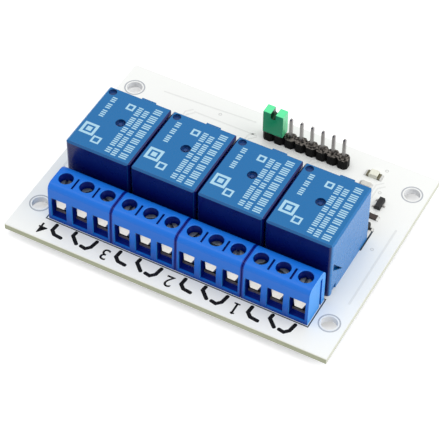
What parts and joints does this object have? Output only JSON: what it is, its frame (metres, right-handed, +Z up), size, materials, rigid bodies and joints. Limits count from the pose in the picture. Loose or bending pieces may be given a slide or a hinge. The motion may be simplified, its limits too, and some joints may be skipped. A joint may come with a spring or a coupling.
{
  "type": "relay module board",
  "caption": "Circuit board with a row of sealed relays, screw terminals along one edge and a pin header with a shunt on the other.",
  "frame": {"origin": "under the middle of the board, on the surface that the trimmed lead ends stand on", "axes": "+X along the terminal edge towards channel 1, +Y from the terminals to the pin header, +Z up"},
  "size_m": [0.075, 0.055, 0.0188],
  "materials": {
    "board_white": "white solder mask on glass-epoxy laminate",
    "relay_blue": "satin moulded blue",
    "relay_base": "moulded, sealed with dark resin",
    "tinned_lead": "tinned copper leads",
    "terminal_blue": "moulded bright blue",
    "contact_metal": "tinned brass strip",
    "guard_steel": "bright plated spring strip",
    "screw_steel": "plated slotted screw",
    "header_black": "moulded black",
    "jumper_green": "moulded green",
    "clip_bronze": "spring bronze",
    "chip_black": "moulded black epoxy",
    "resistor_body": "dark glaze with tinned end caps",
    "lamp_clear": "clear yellowish resin",
    "solder": "bright solder"
  },
  "bodies": {
    "module": {"board": "board_white", "relay_case_1": "relay_blue", "relay_case_2": "relay_blue", "relay_case_3": "relay_blue", "relay_case_4": "relay_blue", "relay_base_1": "relay_base", "relay_base_2": "relay_base", "relay_base_3": "relay_base", "relay_base_4": "relay_base", "relay_pins_1": "tinned_lead", "relay_pins_2": "tinned_lead", "relay_pins_3": "tinned_lead", "relay_pins_4": "tinned_lead", "terminal_housing_1": "terminal_blue", "terminal_housing_2": "terminal_blue", "terminal_housing_3": "terminal_blue", "terminal_housing_4": "terminal_blue", "terminal_contacts_1": "contact_metal", "terminal_contacts_2": "contact_metal", "terminal_contacts_3": "contact_metal", "terminal_contacts_4": "contact_metal", "header_strip": "header_black", "header_pins": "tinned_lead", "jumper_cap": "jumper_green", "jumper_clip": "clip_bronze", "driver_transistors": "chip_black", "transistor_leads": "tinned_lead", "flyback_diodes": "chip_black", "base_resistors": "resistor_body", "channel_leds": "lamp_clear", "power_led": "lamp_clear", "power_resistor": "resistor_body", "solder_joints": "solder"},
    "clamp_1": {"wire_guard_1": "guard_steel"},
    "screw_1": {"terminal_screw_1": "screw_steel"},
    "clamp_2": {"wire_guard_2": "guard_steel"},
    "screw_2": {"terminal_screw_2": "screw_steel"},
    "clamp_3": {"wire_guard_3": "guard_steel"},
    "screw_3": {"terminal_screw_3": "screw_steel"},
    "clamp_4": {"wire_guard_4": "guard_steel"},
    "screw_4": {"terminal_screw_4": "screw_steel"},
    "clamp_5": {"wire_guard_5": "guard_steel"},
    "screw_5": {"terminal_screw_5": "screw_steel"},
    "clamp_6": {"wire_guard_6": "guard_steel"},
    "screw_6": {"terminal_screw_6": "screw_steel"},
    "clamp_7": {"wire_guard_7": "guard_steel"},
    "screw_7": {"terminal_screw_7": "screw_steel"},
    "clamp_8": {"wire_guard_8": "guard_steel"},
    "screw_8": {"terminal_screw_8": "screw_steel"},
    "clamp_9": {"wire_guard_9": "guard_steel"},
    "screw_9": {"terminal_screw_9": "screw_steel"},
    "clamp_10": {"wire_guard_10": "guard_steel"},
    "screw_10": {"terminal_screw_10": "screw_steel"},
    "clamp_11": {"wire_guard_11": "guard_steel"},
    "screw_11": {"terminal_screw_11": "screw_steel"},
    "clamp_12": {"wire_guard_12": "guard_steel"},
    "screw_12": {"terminal_screw_12": "screw_steel"}
  },
  "joints": [
    {"name": "clamp_1_slide", "type": "slide", "parent": "module", "child": "clamp_1", "axis": [0, 0, -1], "range_m": [0, 0.0015]},
    {"name": "screw_1_turn", "type": "hinge", "parent": "clamp_1", "child": "screw_1", "pos_m": [0.02786, -0.01805, 0.0095], "axis": [0, 0, -1], "range_deg": [0, 1080]},
    {"name": "clamp_2_slide", "type": "slide", "parent": "module", "child": "clamp_2", "axis": [0, 0, -1], "range_m": [0, 0.0015]},
    {"name": "screw_2_turn", "type": "hinge", "parent": "clamp_2", "child": "screw_2", "pos_m": [0.02286, -0.01805, 0.0095], "axis": [0, 0, -1], "range_deg": [0, 1080]},
    {"name": "clamp_3_slide", "type": "slide", "parent": "module", "child": "clamp_3", "axis": [0, 0, -1], "range_m": [0, 0.0015]},
    {"name": "screw_3_turn", "type": "hinge", "parent": "clamp_3", "child": "screw_3", "pos_m": [0.01785, -0.01805, 0.0095], "axis": [0, 0, -1], "range_deg": [0, 1080]},
    {"name": "clamp_4_slide", "type": "slide", "parent": "module", "child": "clamp_4", "axis": [0, 0, -1], "range_m": [0, 0.0015]},
    {"name": "screw_4_turn", "type": "hinge", "parent": "clamp_4", "child": "screw_4", "pos_m": [0.0127, -0.01805, 0.0095], "axis": [0, 0, -1], "range_deg": [0, 1080]},
    {"name": "clamp_5_slide", "type": "slide", "parent": "module", "child": "clamp_5", "axis": [0, 0, -1], "range_m": [0, 0.0015]},
    {"name": "screw_5_turn", "type": "hinge", "parent": "clamp_5", "child": "screw_5", "pos_m": [0.00771, -0.01805, 0.0095], "axis": [0, 0, -1], "range_deg": [0, 1080]},
    {"name": "clamp_6_slide", "type": "slide", "parent": "module", "child": "clamp_6", "axis": [0, 0, -1], "range_m": [0, 0.0015]},
    {"name": "screw_6_turn", "type": "hinge", "parent": "clamp_6", "child": "screw_6", "pos_m": [0.0027, -0.01805, 0.0095], "axis": [0, 0, -1], "range_deg": [0, 1080]},
    {"name": "clamp_7_slide", "type": "slide", "parent": "module", "child": "clamp_7", "axis": [0, 0, -1], "range_m": [0, 0.0015]},
    {"name": "screw_7_turn", "type": "hinge", "parent": "clamp_7", "child": "screw_7", "pos_m": [-0.00245, -0.01805, 0.0095], "axis": [0, 0, -1], "range_deg": [0, 1080]},
    {"name": "clamp_8_slide", "type": "slide", "parent": "module", "child": "clamp_8", "axis": [0, 0, -1], "range_m": [0, 0.0015]},
    {"name": "screw_8_turn", "type": "hinge", "parent": "clamp_8", "child": "screw_8", "pos_m": [-0.00745, -0.01805, 0.0095], "axis": [0, 0, -1], "range_deg": [0, 1080]},
    {"name": "clamp_9_slide", "type": "slide", "parent": "module", "child": "clamp_9", "axis": [0, 0, -1], "range_m": [0, 0.0015]},
    {"name": "screw_9_turn", "type": "hinge", "parent": "clamp_9", "child": "screw_9", "pos_m": [-0.01244, -0.01805, 0.0095], "axis": [0, 0, -1], "range_deg": [0, 1080]},
    {"name": "clamp_10_slide", "type": "slide", "parent": "module", "child": "clamp_10", "axis": [0, 0, -1], "range_m": [0, 0.0015]},
    {"name": "screw_10_turn", "type": "hinge", "parent": "clamp_10", "child": "screw_10", "pos_m": [-0.01759, -0.01805, 0.0095], "axis": [0, 0, -1], "range_deg": [0, 1080]},
    {"name": "clamp_11_slide", "type": "slide", "parent": "module", "child": "clamp_11", "axis": [0, 0, -1], "range_m": [0, 0.0015]},
    {"name": "screw_11_turn", "type": "hinge", "parent": "clamp_11", "child": "screw_11", "pos_m": [-0.0226, -0.01805, 0.0095], "axis": [0, 0, -1], "range_deg": [0, 1080]},
    {"name": "clamp_12_slide", "type": "slide", "parent": "module", "child": "clamp_12", "axis": [0, 0, -1], "range_m": [0, 0.0015]},
    {"name": "screw_12_turn", "type": "hinge", "parent": "clamp_12", "child": "screw_12", "pos_m": [-0.0276, -0.01805, 0.0095], "axis": [0, 0, -1], "range_deg": [0, 1080]}
  ],
  "couplings": [
    {"joint": "screw_1_turn", "follows": "clamp_1_slide", "rad_per_m": 12566},
    {"joint": "screw_2_turn", "follows": "clamp_2_slide", "rad_per_m": 12566},
    {"joint": "screw_3_turn", "follows": "clamp_3_slide", "rad_per_m": 12566},
    {"joint": "screw_4_turn", "follows": "clamp_4_slide", "rad_per_m": 12566},
    {"joint": "screw_5_turn", "follows": "clamp_5_slide", "rad_per_m": 12566},
    {"joint": "screw_6_turn", "follows": "clamp_6_slide", "rad_per_m": 12566},
    {"joint": "screw_7_turn", "follows": "clamp_7_slide", "rad_per_m": 12566},
    {"joint": "screw_8_turn", "follows": "clamp_8_slide", "rad_per_m": 12566},
    {"joint": "screw_9_turn", "follows": "clamp_9_slide", "rad_per_m": 12566},
    {"joint": "screw_10_turn", "follows": "clamp_10_slide", "rad_per_m": 12566},
    {"joint": "screw_11_turn", "follows": "clamp_11_slide", "rad_per_m": 12566},
    {"joint": "screw_12_turn", "follows": "clamp_12_slide", "rad_per_m": 12566}
  ]
}
